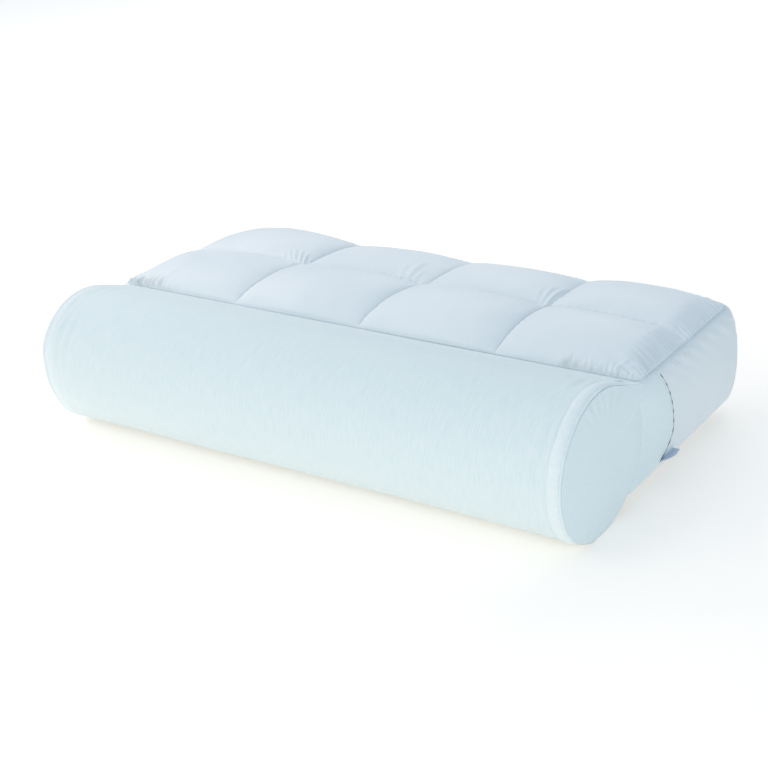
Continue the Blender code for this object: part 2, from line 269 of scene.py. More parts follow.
def smooth_step(value):
    """0 up to 0 and 1 from 1 on, with a soft rise between them."""
    value = min(max(value, 0), 1)
    return value * value * (3 - 2 * value)


def window(value, start, end, soft):
    """1 between start and end, falling softly to 0 outside them."""
    return smooth_step((value - start) / soft + 1) * smooth_step((end - value) / soft + 1)


def eased(index, count, share=0.6):
    """Fraction of the way along an edge, with the steps closer together at both its ends."""
    plain = index / count
    return blend(plain, (1 - math.cos(math.pi * plain)) / 2, share)


def drift(*place, seed=0.0):
    """Smooth noise from -1 to 1 at a place given in units of its own grain."""
    x, y, z = (tuple(place) + (0.0, 0.0))[:3]
    return noise.noise(Vector((x + 17.3 * seed, y - 9.1 * seed, z + 3.7 * seed)))


def make_object(bm, name, material):
    """Makes the bmesh a smooth object in the row's frame, on its only body."""
    bmesh.ops.translate(bm, verts=bm.verts, vec=SEAMS_TO_ROW)
    bmesh.ops.recalc_face_normals(bm, faces=bm.faces)
    mesh = bpy.data.meshes.new(name)
    bm.to_mesh(mesh)
    bm.free()
    mesh.shade_smooth()
    mesh.materials.append(material)
    obj = bpy.data.objects.new(name, mesh)
    bpy.context.scene.collection.objects.link(obj)
    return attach(obj, "root")


def sweep(name, route, sides, material, closed=False):
    """A cord or strip through (place, half width, half thickness, tilt) stations, ring after ring."""
    bm = bmesh.new()
    add_sweep(bm, route, sides, closed)
    return make_object(bm, name, material)


def add_sweep(bm, route, sides, closed):
    """Adds the cord or strip to a bmesh, joined up where it is closed and with filled ends if not."""
    count = len(route)
    rings = []
    for index, (place, width, thickness, tilt) in enumerate(route):
        before = route[(index - 1) % count if closed else max(index - 1, 0)][0]
        after = route[(index + 1) % count if closed else min(index + 1, count - 1)][0]
        way = (after - before).normalized()
        side = way.cross(Vector((0, 0, 1)))
        if side.length < NEARLY_UPRIGHT:
            side = way.cross(Vector((0, 1, 0)))
        side.normalize()
        up = side.cross(way)
        turn = Matrix((side, up, way)).transposed().to_4x4()
        shape = Matrix.Rotation(tilt, 4, "Z") @ Matrix.Diagonal((width, thickness, 1, 1))
        at = Matrix.Translation(place) @ turn @ shape
        ring = bmesh.ops.create_circle(bm, segments=sides, radius=1, matrix=at)["verts"]
        rings.append(list({edge for vert in ring for edge in vert.link_edges}))
    ends = rings[0] + rings[-1]
    pairs = list(zip(rings, rings[1:] + rings[:1])) if closed else list(zip(rings, rings[1:]))
    for first, second in pairs:
        bmesh.ops.bridge_loops(bm, edges=first + second)
    if not closed:
        bmesh.ops.holes_fill(bm, edges=ends, sides=sides)


# Neck roll

def roll_outline(angle_deg):
    """(y, z) of the roll's round wall, a little flat where it meets the floor."""
    angle = math.radians(angle_deg)
    rise = ROLL_CENTRE if math.sin(angle) > 0 else ROLL_CENTRE + ROLL_SINK
    return ROLL_DEPTH / 2 * math.cos(angle), max(0.0, ROLL_CENTRE + rise * math.sin(angle))


def line_points(start, end, steps):
    """Points on the straight line from start to end, both of them among the points."""
    return [tuple(blend(a, b, i / steps) for a, b in zip(start, end)) for i in range(steps + 1)]


def wall_arc():
    """The roll's round wall, from the top of the tail over the front to the tail's foot."""
    turn = 360 - TAIL_TOP_DEG + TAIL_FOOT_DEG
    steps = range(WALL_ARC_STEPS + 1)
    return [roll_outline(TAIL_TOP_DEG + turn * i / WALL_ARC_STEPS) for i in steps]


def roll_section():
    """The round wall, then the tail that narrows to a lip at the front seam."""
    arc = wall_arc()
    tip_y = BODY_FRONT - PIPING_RADIUS
    lip_foot, lip_top = ((tip_y, SEAM_HEIGHT - below) for below in TAIL_LIP_BELOW_SEAM)
    foot = line_points(arc[-1], lip_foot, TAIL_STEPS)
    top = line_points(lip_top, arc[0], TAIL_STEPS)
    return arc + foot[1:] + top[:-1]


def section_angle(y, z):
    """Degrees round the roll's axis: from its back up, over the front and under."""
    return math.degrees(math.atan2(z - ROLL_CENTRE, y)) % 360


def groove_share(angle_deg):
    """1 where the bead's groove is full, 0 where the roll is pressed against the body."""
    inside = min(angle_deg - GROOVE_TOP_DEG, GROOVE_FOOT_DEG - angle_deg)
    return smooth_step(inside / GROOVE_TAPER_DEG)


def end_rows():
    """One end's rings, from the middle of its disc out and on to the tube.

    Each is its distance in from the end, share of the radius, inset, and share of the groove's depth.
    """
    rows = []
    for step in range(1, DISC_STEPS - 1):
        share = math.sin(math.pi / 2 * step / DISC_STEPS)
        rows.append((-END_DOME * (1 - share ** 2), share, 0.0, 0.0))
    for step in range(ROUND_STEPS + 1):
        angle = math.pi / 2 * step / ROUND_STEPS
        rows.append((END_ROUND * (1 - math.cos(angle)), 1, END_ROUND * (1 - math.sin(angle)), 0.0))
    near, far = GROOVE_FROM_END
    for step in range(GROOVE_STEPS + 1):
        across = 2 * step / GROOVE_STEPS - 1
        rows.append((blend(near, far, step / GROOVE_STEPS), 1, 0.0, 1 - abs(across) ** 7))
    return rows


def behind(y, height):
    """1 at the back of the end disc, where its cloth is drawn out and runs on over the body's side."""
    backward = smooth_step((y / (ROLL_DEPTH / 2) - DRAWN_OUT_FROM) / DRAWN_OUT_FADE)
    return smooth_step(height / DRAWN_OUT_HEIGHT) * backward


def end_puckers(angle_deg, share):
    """Small gathers of the end disc by its seam, at the top and underneath."""
    angle = math.radians(angle_deg)
    rim = smooth_step((share - 0.5) / 0.5)
    top = window(angle_deg, *TOP_PUCKERS)
    foot = window(angle_deg, *FOOT_PUCKERS)
    ripple = math.sin(angle * PUCKERS_ROUND + 1.7 * drift(angle * 3, share, seed=2))
    fine = math.sin(angle * FINE_PUCKERS_ROUND + 2.1 * drift(angle * 5, share, seed=3))
    height = top * (1.5 * ripple + 0.8 * fine) + foot * (1.0 * ripple + 0.6 * fine)
    return rim ** 2 * (1 - rim ** 9) * MM * height


def left_end_slack(x, angle_deg):
    """How far the roll's left end is drawn in, low at its front."""
    near_end = smooth_step((LEFT_END_REACH - ROLL_LENGTH - x) / LEFT_END_FADE)
    return LEFT_END_DRAWN_IN * near_end * window(angle_deg, *LEFT_END_SECTOR)


def roll_unevenness(x, angle_deg, from_end):
    """How far the stuffed tube stands off its plain shape: slow lumps, and hoops beside the beads."""
    around = angle_deg / 40
    lumps = 0.9 * drift(x / 0.13, around, seed=5) + 0.35 * drift(x / 0.045, around * 1.7, seed=6)
    hoops = 1.3 * math.sin(from_end / HOOP_PITCH * math.tau + 1.4 * drift(around, x / 0.02, seed=7))
    beside = window(from_end, *HOOPS_FROM_END)
    strength = 0.4 + 0.6 * drift(around * 1.3, x * 9, seed=8)
    return MM * (lumps + hoops * beside * strength)


def roll_rings():
    """Every ring of the roll from its right end to its left: its place along X, then as in end_rows."""
    ends = end_rows()
    first = ends[-1][0]
    last = ROLL_LENGTH - first
    middle = [blend(first, last, eased(i, TUBE_STEPS, 0.35)) for i in range(1, TUBE_STEPS)]
    rows = [(-along, *others) for along, *others in ends]
    rows += [(-along, 1, 0.0, 0.0) for along in middle]
    rows += [(along - ROLL_LENGTH, share, inset, 0.0) for along, share, inset, _ in reversed(ends)]
    return rows


def roll_place(ring, y, z, lumpiness):
    """Where a point of the roll's section lies on one of its rings."""
    along, share, inset, groove = ring
    from_end = min(-along, along + ROLL_LENGTH)
    angle = section_angle(y, z)
    depth = inset * (1 - behind(y, z)) + groove * GROOVE_DEPTH * groove_share(angle)
    held = smooth_step((z - HELD_NEAR_FLOOR) / HELD_FADE) * smooth_step(from_end / HELD_BY_END)
    tail = 1 - 0.8 * window(angle, *TAIL_SECTOR)
    depth -= lumpiness * roll_unevenness(along, angle, from_end) * held * tail * (1 - groove)
    depth += left_end_slack(along, angle)
    scale = share * (1 - depth / math.hypot(y, z - ROLL_CENTRE))
    outward = math.copysign(1, along + ROLL_LENGTH / 2)
    x = along
    if share < 1:
        x += end_puckers(angle, share) * lumpiness * outward
    if from_end <= END_ROUND:
        x += END_FLARE * behind(y * share, z) * outward
    return x, y * scale, blend(ROLL_CENTRE, z, scale)


def lay_knit(bm, round_way, girth):
    """Maps the knit in metres, along the roll and round its section, unbroken where it meets itself."""
    layer = bm.loops.layers.uv.new("cloth")
    for face in bm.faces:
        places = [round_way.get(loop.vert, 0.0) for loop in face.loops]
        wraps = max(places) - min(places) > girth / 2
        for loop, place in zip(face.loops, places):
            if wraps and place < girth / 2:
                place += girth
            loop[layer].uv = (loop.vert.co.x, place)


def neck_roll_mesh(lumpiness):
    """The roll from a sphere: each parallel becomes a ring, and each pole the middle of an end disc."""
    section = roll_section()
    rows = roll_rings()
    bm = bmesh.new()
    bmesh.ops.create_uvsphere(bm, u_segments=len(section), v_segments=len(rows) + 1, radius=1)
    rings = {}
    for vert in bm.verts:
        latitude = math.acos(max(-1, min(1, vert.co.z))) / math.pi
        rings.setdefault(round(latitude * (len(rows) + 1)) - 1, []).append(vert)
    lengths = [0.0]
    for start, end in zip(section, section[1:]):
        lengths.append(lengths[-1] + math.dist(start, end))
    round_way = {}
    for row, ring in rings.items():
        if row < 0 or row >= len(rows):
            ring[0].co = (END_DOME if row < 0 else -ROLL_LENGTH - END_DOME, 0, ROLL_CENTRE)
            continue
        # The small turn keeps the first meridian from sorting last.
        ring.sort(key=lambda vert: (math.atan2(vert.co.y, vert.co.x) + 0.001) % math.tau)
        for index, vert in enumerate(ring):
            round_way[vert] = lengths[index]
            vert.co = roll_place(rows[row], *section[index], lumpiness)
    lay_knit(bm, round_way, lengths[-1] + math.dist(section[-1], section[0]))
    return bm


def outline_at(angle_deg, section):
    """(y, z) where the roll's outline, tail and all, lies at an angle round its axis."""
    pairs = sorted((section_angle(y, z), (y, z)) for y, z in section)
    for (first, start), (last, end) in zip(pairs, pairs[1:]):
        if first <= angle_deg <= last:
            share = (angle_deg - first) / (last - first)
            return tuple(blend(a, b, share) for a, b in zip(start, end))
    return pairs[-1][1]


def bead_route(x, inset):
    """Stations of the bead round one end: thinner where the roll is pressed against the body."""
    section = roll_section()
    first = GROOVE_TOP_DEG + GROOVE_TAPER_DEG / 2
    last = GROOVE_FOOT_DEG - GROOVE_TAPER_DEG / 2
    route = []
    for step in range(BEAD_STEPS + 1):
        angle = blend(first, last, step / BEAD_STEPS)
        y, z = outline_at(angle, section)
        from_tip = smooth_step(min(angle - first, last - angle) / GROOVE_TAPER_DEG)
        full = blend(BEAD_TIP_THICKNESS, 1, from_tip)
        depth = inset * blend(0.5, 1, full) + left_end_slack(x, angle)
        scale = 1 - depth / math.hypot(y, z - ROLL_CENTRE)
        swell = 1 + 0.06 * drift(angle / 9, x * 7, seed=11)
        height = BEAD_HALF_THICKNESS * full * swell
        z = max(blend(ROLL_CENTRE, z, scale), height + BEAD_OFF_FLOOR)
        place = Vector((x + 0.3 * MM * drift(angle / 14, seed=12), y * scale, z))
        route.append((place, BEAD_HALF_WIDTH * blend(BEAD_TIP_WIDTH, 1, full), height, 0.0))
    return route


# Body

def contact_y(z):
    """Where the body's front wall stands: against the roll, and under its tail up to the seam."""
    foot_y, foot_z = roll_outline(TAIL_FOOT_DEG)
    if z > foot_z:
        share = (z - foot_z) / (SEAM_HEIGHT - foot_z)
        return blend(foot_y - ROLL_ROOM, BODY_FRONT + SEAM_ROOM, share)
    rise = ROLL_CENTRE if z > ROLL_CENTRE else ROLL_CENTRE + ROLL_SINK
    sine = max(-1, min(1, (z - ROLL_CENTRE) / rise))
    return ROLL_DEPTH / 2 * math.sqrt(1 - sine ** 2) - ROLL_ROOM


def crease_y(z):
    """Distance behind the roll's axis of the curved crease in the gusset's ends, at a height."""
    upper = z > CREASE_BELLY_HEIGHT
    span = (SEAM_HEIGHT if upper else BASE_SEAM_HEIGHT) - CREASE_BELLY_HEIGHT
    end = CREASE_TOP if upper else CREASE_FOOT
    return blend(CREASE_BELLY, end, ((z - CREASE_BELLY_HEIGHT) / span) ** 2)


def rounded_plan(x, y, rectangle, front_corner, back_corner):
    """A rectangle's point at its place in one with round corners, and the way out there."""
    left, right, front, back = rectangle
    middle = Vector(((left + right) / 2, (front + back) / 2))
    half = Vector(((right - left) / 2, (back - front) / 2))
    offset = Vector((x, y)) - middle
    corner = front_corner if offset.y < 0 else back_corner
    size = max(abs(offset.x) / half.x, abs(offset.y) / half.y)
    if size < 1e-6:
        return Vector((x, y)), Vector((0, 0))
    edge = offset / size
    flat = half - Vector((corner, corner))
    inner = Vector((max(-flat.x, min(flat.x, edge.x)), max(-flat.y, min(flat.y, edge.y))))
    way_out = edge - inner
    way_out.normalize()
    # The rounding fades fast inside the rim, or it would leave kinks on the top.
    return Vector((x, y)) + (inner + way_out * corner - edge) * size ** 8, way_out


def panel_place(u, v):
    """Column and row of a sewn square, and the place in it from -1 to 1 each way."""
    column = min(int(u * COLUMNS), COLUMNS - 1)
    row = min(int(v * ROWS), ROWS - 1)
    return column, row, 2 * (u * COLUMNS - column) - 1, 2 * (v * ROWS - row) - 1


def top_height(u, v, puff):
    """Height of the quilted top: the sewn lines sag between the seams, and each square puffs up."""
    inward = min(u, 1 - u)
    across = blend(ROW_LINE_AT_ENDS, 1, smooth_step(inward * COLUMNS))
    across *= smooth_step(inward / ROW_LINE_RISES_OVER)
    along = 1 - (2 * v - 1) ** 2
    sewn = blend(SEAM_HEIGHT, CROSSING_HEIGHT, across * along)
    column, row, a, b = panel_place(u, v)
    across_square = (1 - a * a) ** 0.5
    if column == 0 and a < 0:
        # The left end's squares stand up at their seam, then rise gently.
        across_square = 0.3 * (1 - a * a) ** 0.25 + 0.7 * (1 - a * a)
    along_square = (1 - b * b) ** 0.48
    lift = LINE_LIFT[row] * across * along_square
    return sewn + lift + (puff * FULLNESS[row][column] * along_square - lift) * across_square


def top_normal(u, v, puff):
    """Way out of the quilted top, from its slopes a short step to each side."""
    low_u, high_u = max(u - SLOPE_STEP, 0), min(u + SLOPE_STEP, 1)
    low_v, high_v = max(v - SLOPE_STEP, 0), min(v + SLOPE_STEP, 1)
    run_x = column_x(high_u, v) - column_x(low_u, v)
    run_y = (high_v - low_v) * (BODY_BACK - BODY_FRONT)
    slope_x = (top_height(high_u, v, puff) - top_height(low_u, v, puff)) / run_x
    slope_y = (top_height(u, high_v, puff) - top_height(u, low_v, puff)) / run_y
    return Vector((-slope_x, -slope_y, 1.0)).normalized()


def column_line(index, v):
    """X of a sewn column line, at a share of the way from front to back."""
    front, middle, back = (bends[index] for bends in COLUMN_BENDS)
    if v < 0.5:
        return COLUMN_LINES[index] + blend(front, middle, (2 * v) ** 1.8)
    return COLUMN_LINES[index] + blend(back, middle, 4 * v * (1 - v))


def column_x(u, v):
    """X of a place on the top, between the two column lines that it lies between."""
    column = min(int(u * COLUMNS), COLUMNS - 1)
    return blend(column_line(column, v), column_line(column + 1, v), u * COLUMNS - column)


def row_y(v, front, back):
    """Y of a place on the body, with the row line half way up v."""
    row_line = blend(front, back, (ROW_LINE - BODY_FRONT) / (BODY_BACK - BODY_FRONT))
    return blend(front, row_line, v * 2) if v < 0.5 else blend(row_line, back, v * 2 - 1)


def taper(x, y):
    """X of a place once the left end is drawn in towards its back corner."""
    leftward = x / BODY_LEFT
    backward = (y - BODY_FRONT) / (BODY_BACK - BODY_FRONT)
    return x + BODY_TAPER * max(leftward, 0) ** 3 * max(backward, 0) ** 1.8


# Gathers of the top: seam, where it starts and ends along the seam, spacing of the ripples, how far
# they reach from it, their height, and how much they slant. Lengths in mm.
GATHERS = (
    ("front", -619, -600, 5.6, 10, 3.2, 0.1),
    ("front", -600, -566, 5.6, 8, 3.2, 0.1),
    ("front", -574, -548, 4.6, 5, 1.6, 0.2),
    ("front", -545, -490, 4.6, 4, 0.6, 0.1),
    ("front", -80, -26, 5.2, 5.5, 2.3, 0.2),
    ("front", -24, -4, 5.4, 5, 0.9, 0.3),
    ("front", -480, -80, 7.0, 4, 0.25, 0.0),
    ("right", 90, 150, 4.4, 15, 0.8, -0.4),
    ("right", 150, 215, 5.0, 15, 1.0, -0.3),
    ("right", 215, 276, 6.0, 12, 0.9, 0.1),
    ("back", -600, -20, 8.0, 10, 0.6, 0.0),
    ("left", 84, 276, 7.0, 14, 1.1, 0.1),
    ("row", -345, -296, 7.0, 8, 0.6, -0.2),
    ("row", -40, 0, 6.0, 8, 0.25, 0.2),
    ("row", -600, -20, 10.0, 8, 0.3, 0.0),
    ("column", 79, 283, 8.0, 8, 0.3, 0.0),
)


def gather(along, away, pitch, reach, height, slant, seed):
    """A ripple across a seam, in mm: uneven in spacing and height, and fading into the cloth."""
    along += slant * away + 1.8 * drift(along / 21, away / 30, seed=seed)
    phase = along / pitch * math.tau + 2.4 * drift(along / (2.6 * pitch), away / 40, seed=seed + 1)
    uneven = max(0.75 + 0.6 * drift(along / (1.9 * pitch), seed=seed + 2), 0.35)
    own_reach = reach * (1 + 0.5 * drift(along / (1.3 * pitch), seed=seed + 3))
    fade = math.exp(-((away / own_reach) ** 1.5)) * smooth_step((away + 0.2) / 1.0)
    return height * uneven * (math.sin(phase) + 0.3) * fade


def nearest_column_line(x, share):
    """Distance in mm from a place on the top to its nearest inner column line, and which one."""
    return min((abs(x - column_line(index, share) / MM), index) for index in range(1, COLUMNS))


def top_gathers(x, y):
    """Sum of the gathers at a place on the top panel, in metres."""
    x, y = x / MM, y / MM
    share = (y - BODY_FRONT / MM) / ((BODY_BACK - BODY_FRONT) / MM)
    from_column, column = nearest_column_line(x, share)
    places = {
        "front": (x, y - BODY_FRONT / MM),
        "back": (x, BODY_BACK / MM - y),
        "right": (y, -x),
        "left": (y, x - BODY_LEFT / MM),
        "row": (x, abs(y - ROW_LINE / MM)),
        "column": (y, from_column),
    }
    # Each column line, and each side of the row line, takes its own stretch of the pattern.
    shifts = {"column": COLUMN_SHIFT * column, "row": ROW_SHIFT if y > ROW_LINE / MM else 0}
    total = 0.0
    for number, (seam, start, end, pitch, reach, height, slant) in enumerate(GATHERS):
        along, away = places[seam]
        if away > 3 * reach:
            continue
        weight = window(along, start, end, GATHERS_FADE)
        if weight > 0:
            seed = FIRST_GATHER_SEED + SEEDS_A_GATHER * number
            along += shifts.get(seam, 0)
            total += weight * gather(along, away, pitch, reach, height, slant, seed)
    return total * MM


# Single folds of the top: middle (x, y), direction in degrees, length, width and height, in mm.
FOLDS = (
    (-151, 196, 94, 54, 4.2, 1.5),
    (-158, 198, 99, 38, 3.8, 1.1),
    (-143, 190, 90, 24, 3.2, 1.0),
    (-165, 193, 106, 24, 3.4, 0.8),
    (-317, 197, 100, 56, 6.0, 1.6),
    (-327, 193, 107, 32, 4.0, 1.0),
    (-307, 191, 94, 22, 3.6, 0.9),
    (-446, 186, 108, 14, 2.8, 1.5),
    (-453, 187, 114, 20, 3.0, 1.8),
    (-460, 188, 120, 22, 3.0, 1.8),
    (-467, 188, 126, 20, 3.0, 1.6),
    (-474, 187, 132, 16, 3.0, 1.2),
    (-481, 186, 138, 12, 3.0, 0.8),
    (-443, 169, -84, 20, 3.6, 0.9),
    (-453, 170, -100, 18, 3.6, 0.8),
    (-14, 103, -24, 26, 2.8, 1.0),
    (-15, 111, -20, 30, 3.0, 1.0),
    (-16, 120, -16, 32, 2.8, 0.9),
    (-16, 130, -13, 30, 3.2, 0.8),
    (-17, 143, -9, 32, 3.4, 0.8),
    (-24, 87, 62, 16, 3.4, 2.0),
    (-15, 91, 35, 22, 4.0, 1.6),
    (-16, 97, -5, 26, 4.0, 1.0),
    (-560, 110, 60, 50, 8.0, 0.8),
)


def top_folds(x, y):
    """Sum of the single folds at a place on the top panel, in metres: each a slightly bent ridge."""
    total = 0.0
    for middle_x, middle_y, degrees, length, width, height in FOLDS:
        way = Vector((math.cos(math.radians(degrees)), math.sin(math.radians(degrees))))
        offset = Vector((x / MM - middle_x, y / MM - middle_y))
        along = offset.dot(way)
        across = way.x * offset.y - way.y * offset.x + 0.004 * along * along
        total += height * math.exp(-((2 * along / length) ** 4) - (2 * across / width) ** 2)
    return total * MM


def top_slack(x, y):
    """Slow unevenness of the filled squares."""
    slow = 0.8 * drift(x / 0.07, y / 0.06, seed=25) + 0.5 * drift(x / 0.026, y / 0.03, seed=26)
    return MM * (slow + 0.22 * drift(x / 0.011, y / 0.014, seed=28))


def gusset_relief(around, z):
    """Soft folds of the gusset below its top seam, in metres outward."""
    below = (SEAM_HEIGHT - z) / MM
    ripple = gather(around / MM, below, 6.5, 11, 0.65, -1.1, 61)
    long_folds = gather(around / MM, below, 21.0, 34, 0.8, -1.4, 66)
    base_side = gather(around / MM, (z - BASE_SEAM_HEIGHT) / MM, 12.0, 12, 0.3, -0.2, 71)
    slow = 0.9 * drift(around / 0.08, z / 0.05, seed=27)
    return MM * (ripple + long_folds + base_side + slow)


def end_wall_depth(y, z, swell):
    """How far out the end wall stands: drawn in at its crease, with a lobe before it."""
    crease = crease_y(z)
    fade = smooth_step((z - CREASE_STARTS) / CREASE_DEEPENS_OVER)
    away = y - crease
    sharp = CREASE_DEPTH * math.exp(-((away / CREASE_HALF_WIDTH) ** 2))
    share = min(max((y - contact_y(z)) / (crease - contact_y(z)), 0), 1)
    lobe = LOBE_SWELL * math.sin(math.pi * share) - LOBE_DRAWN_IN * (1 - share) ** 1.25
    # Behind the crease the gusset starts a little lower than the lobe's edge.
    step = CREASE_STEP * math.exp(-away / CREASE_STEP_REACH) if away > 0 else 0.0
    return lobe * swell ** 2 - fade * (sharp + step) * swell


def wall_swell(share):
    """How far a wall bulges at a share of its height: 0 at both its seams, 1 half way up."""
    return (1 - (2 * share - 1) ** 2) ** 0.45


def wall_rectangle(z, swell):
    """Left, right, front and back of the body at a height."""
    sides = SIDE_BULGE * swell
    return (
        BODY_LEFT + SEAM_ROOM - sides,
        -SEAM_ROOM + sides,
        contact_y(z),
        BODY_BACK - SEAM_ROOM + BACK_BULGE * swell,
    )


def end_wall_y(y, z, front, back):
    """Moves the mesh's lines along an end wall, so that they stand closest together at the crease."""
    before = row_y(0.25, front, back)
    crease = crease_y(z)
    if y <= before:
        return blend(crease, front, ((before - y) / (before - front)) ** 1.5)
    return blend(crease, back, ((y - before) / (back - before)) ** 1.5)


def shaped_wall(place, way_out, z, rectangle, swell, slack):
    """A place on the gusset, with the crease and lobe of its ends and its soft folds."""
    left, right, *_ = rectangle
    from_middle = place.x - (left + right) / 2
    inside = (right - left) / 2 - abs(from_middle)
    near_end = smooth_step((END_SHAPED_WITHIN - inside) / END_SHAPED_FADE)
    place.x += math.copysign(1, from_middle) * end_wall_depth(place.y, z, swell) * near_end
    behind_crease = smooth_step((place.y - crease_y(z) - FOLDS_BEHIND_CREASE) / FOLDS_FADE)
    around = place.y if abs(way_out.x) > 0.7 else place.x + BACK_SHIFT
    under_seam = smooth_step((SEAM_HEIGHT - z) / HELD_UNDER_SEAM)
    over_base = smooth_step((z - BASE_SEAM_HEIGHT) / HELD_OVER_BASE)
    folds = gusset_relief(around, z) * slack * behind_crease * under_seam * over_base
    return place + way_out * folds


def shaped_top(place, u, v, puff, slack):
    """A place on the quilted top and its height there, with its gathers, folds and slack."""
    rate_x, rate_y = RELIEF_GROWS
    edge = smooth_step(min(u * rate_x, (1 - u) * rate_x, v * rate_y, (1 - v) * rate_y))
    relief = top_gathers(place.x, place.y) + top_folds(place.x, place.y) + top_slack(place.x, place.y)
    moved = top_normal(u, v, puff) * slack * relief * edge
    return place + moved.to_2d(), top_height(u, v, puff) + moved.z


def body_point(u, v, w, puff, slack):
    """A place on the body from its place on a unit box."""
    z = blend(BASE_SEAM_HEIGHT, SEAM_HEIGHT, w)
    swell = wall_swell(w)
    rectangle = wall_rectangle(z, swell)
    left, right, front, back = rectangle
    x = blend(left, right, 1 - column_x(u, v) / BODY_LEFT)
    y = row_y(v, front, back)
    on_wall = 0 < w < 1
    if on_wall and u in (0, 1):
        y = end_wall_y(y, z, front, back)
    front_corner = blend(SEAM_CORNER, FRONT_CORNER, swell)
    back_corner = blend(BACK_SEAM_CORNER, BACK_CORNER, swell)
    place, way_out = rounded_plan(x, y, rectangle, front_corner, back_corner)
    if on_wall:
        place = shaped_wall(place, way_out, z, rectangle, swell, slack)
    elif w == 1:
        place, z = shaped_top(place, u, v, puff, slack)
    else:
        inward = min(x - left, right - x, y - front, back - y)
        z = BASE_SEAM_HEIGHT * min(max(1 - inward / BASE_ROUNDING, 0), 1) ** 2.2
    return Vector((taper(place.x, place.y), place.y, z))


def body_box():
    """The body as a unit box: a fine top, walls drawn down from its rim, and a coarser base."""
    bm = bmesh.new()
    steps_x, steps_y = TOP_STEPS
    at_top = Matrix.Translation((0.5, 0.5, 1))
    bmesh.ops.create_grid(bm, x_segments=steps_x, y_segments=steps_y, size=0.5, matrix=at_top)
    rim = [edge for edge in bm.edges if edge.is_boundary]
    for _ in range(WALL_STEPS):
        drawn = bmesh.ops.extrude_edge_only(bm, edges=rim)["geom"]
        verts = [item for item in drawn if isinstance(item, bmesh.types.BMVert)]
        bmesh.ops.translate(bm, verts=verts, vec=(0, 0, -1 / WALL_STEPS))
        rim = [item for item in drawn if isinstance(item, bmesh.types.BMEdge) and item.is_boundary]
    base_x, base_y = BASE_STEPS
    at_base = Matrix.Translation((0.5, 0.5, 0)) @ Matrix.Diagonal((*BASE_GRID, 1, 1))
    grid = bmesh.ops.create_grid(bm, x_segments=base_x, y_segments=base_y, size=0.5, matrix=at_base)
    base = grid["verts"]
    inner = {edge for vert in base for edge in vert.link_edges if edge.is_boundary}
    bmesh.ops.bridge_loops(bm, edges=rim + list(inner))
    return bm, set(base)


def eased_grid(share, steps, parts):
    """A grid line's place, eased so that the lines stand closer at both ends of each part."""
    index = round(share * steps)
    part_steps = steps // parts
    part = min(index // part_steps, parts - 1)
    return (part + eased(index - part * part_steps, part_steps)) / parts


def body_mesh(puff, slack):
    """The body: each point of the unit box at its place, closest together beside the sewn lines."""
    bm, base = body_box()
    steps_x, steps_y = TOP_STEPS
    for vert in bm.verts:
        u, v, w = vert.co
        if vert in base:
            w = 0
        else:
            u = eased_grid(u, steps_x, COLUMNS)
            v = eased_grid(v, steps_y, ROWS)
            w = eased(round(w * WALL_STEPS), WALL_STEPS, 0.8)
        vert.co = body_point(u, v, w, puff, slack)
    return bm


def seam_route(spacing):
    """Points of the top seam, a rectangle with round corners, anticlockwise from above."""
    front_corner, back_corner = SEAM_CORNER + SEAM_ROOM, BACK_SEAM_CORNER + SEAM_ROOM
    corners = (
        (0, BODY_FRONT, front_corner, -90),
        (0, BODY_BACK, back_corner, 0),
        (BODY_LEFT, BODY_BACK, back_corner, 90),
        (BODY_LEFT, BODY_FRONT, front_corner, 180),
    )
    arcs = []
    for x, y, radius, first in corners:
        middle = Vector((x - radius if x == 0 else x + radius, 0, SEAM_HEIGHT))
        middle.y = y + radius if y == BODY_FRONT else y - radius
        arc = []
        for step in range(CORNER_STEPS + 1):
            angle = math.radians(first + 90 * step / CORNER_STEPS)
            arc.append(middle + radius * Vector((math.cos(angle), math.sin(angle), 0)))
        arcs.append(arc)
    route = []
    for arc, after in zip(arcs, arcs[1:] + arcs[:1]):
        pieces = round((after[0] - arc[-1]).length / spacing)
        route += arc + [arc[-1].lerp(after[0], i / pieces) for i in range(1, pieces)]
    return [Vector((taper(place.x, place.y), place.y, place.z)) for place in route]


def crease_place(z, mirrored):
    """A place on the far flank of an end's crease, just proud of the cloth."""
    swell = wall_swell((z - BASE_SEAM_HEIGHT) / (SEAM_HEIGHT - BASE_SEAM_HEIGHT))
    y = crease_y(z) + STITCH_AND_SHADE_LINE_BEHIND_CREASE
    x = SIDE_BULGE * swell - SEAM_ROOM + end_wall_depth(y, z, swell) + STITCH_AND_SHADE_LINE_PROUD
    return Vector((taper(BODY_LEFT - x, y), y, z)) if mirrored else Vector((x, y, z))


def add_crease_shade_line_and_stitches(bm, mirrored):
    """A thin dark line of painted shade down an end's crease, standing in for its shadow line, and the
    thicker stitches on it.
    """
    heights = [blend(STITCH_AND_SHADE_LINE_TOP, STITCH_AND_SHADE_LINE_FOOT, i / SHADE_LINE_STEPS) for i in range(SHADE_LINE_STEPS + 1)]
    # This continuous dark cord is painted shade: a dark line where the crease's shadow falls.
    route = [(crease_place(z, mirrored), SHADE_LINE_RADIUS, SHADE_LINE_RADIUS, 0.0) for z in heights]
    add_sweep(bm, route, STITCH_AND_SHADE_LINE_SIDES, closed=False)
    radii = (STITCH_RADIUS / 2, STITCH_RADIUS, STITCH_RADIUS / 2)
    z = STITCH_AND_SHADE_LINE_TOP
    while z > STITCH_AND_SHADE_LINE_FOOT + STITCH_LENGTH:
        heights = (z, z - STITCH_LENGTH / 2, z - STITCH_LENGTH)
        places = [crease_place(height, mirrored) for height in heights]
        stitch = [(place, radius, radius, 0.0) for place, radius in zip(places, radii)]
        add_sweep(bm, stitch, STITCH_AND_SHADE_LINE_SIDES, closed=False)
        z -= STITCH_LENGTH + STITCH_GAP


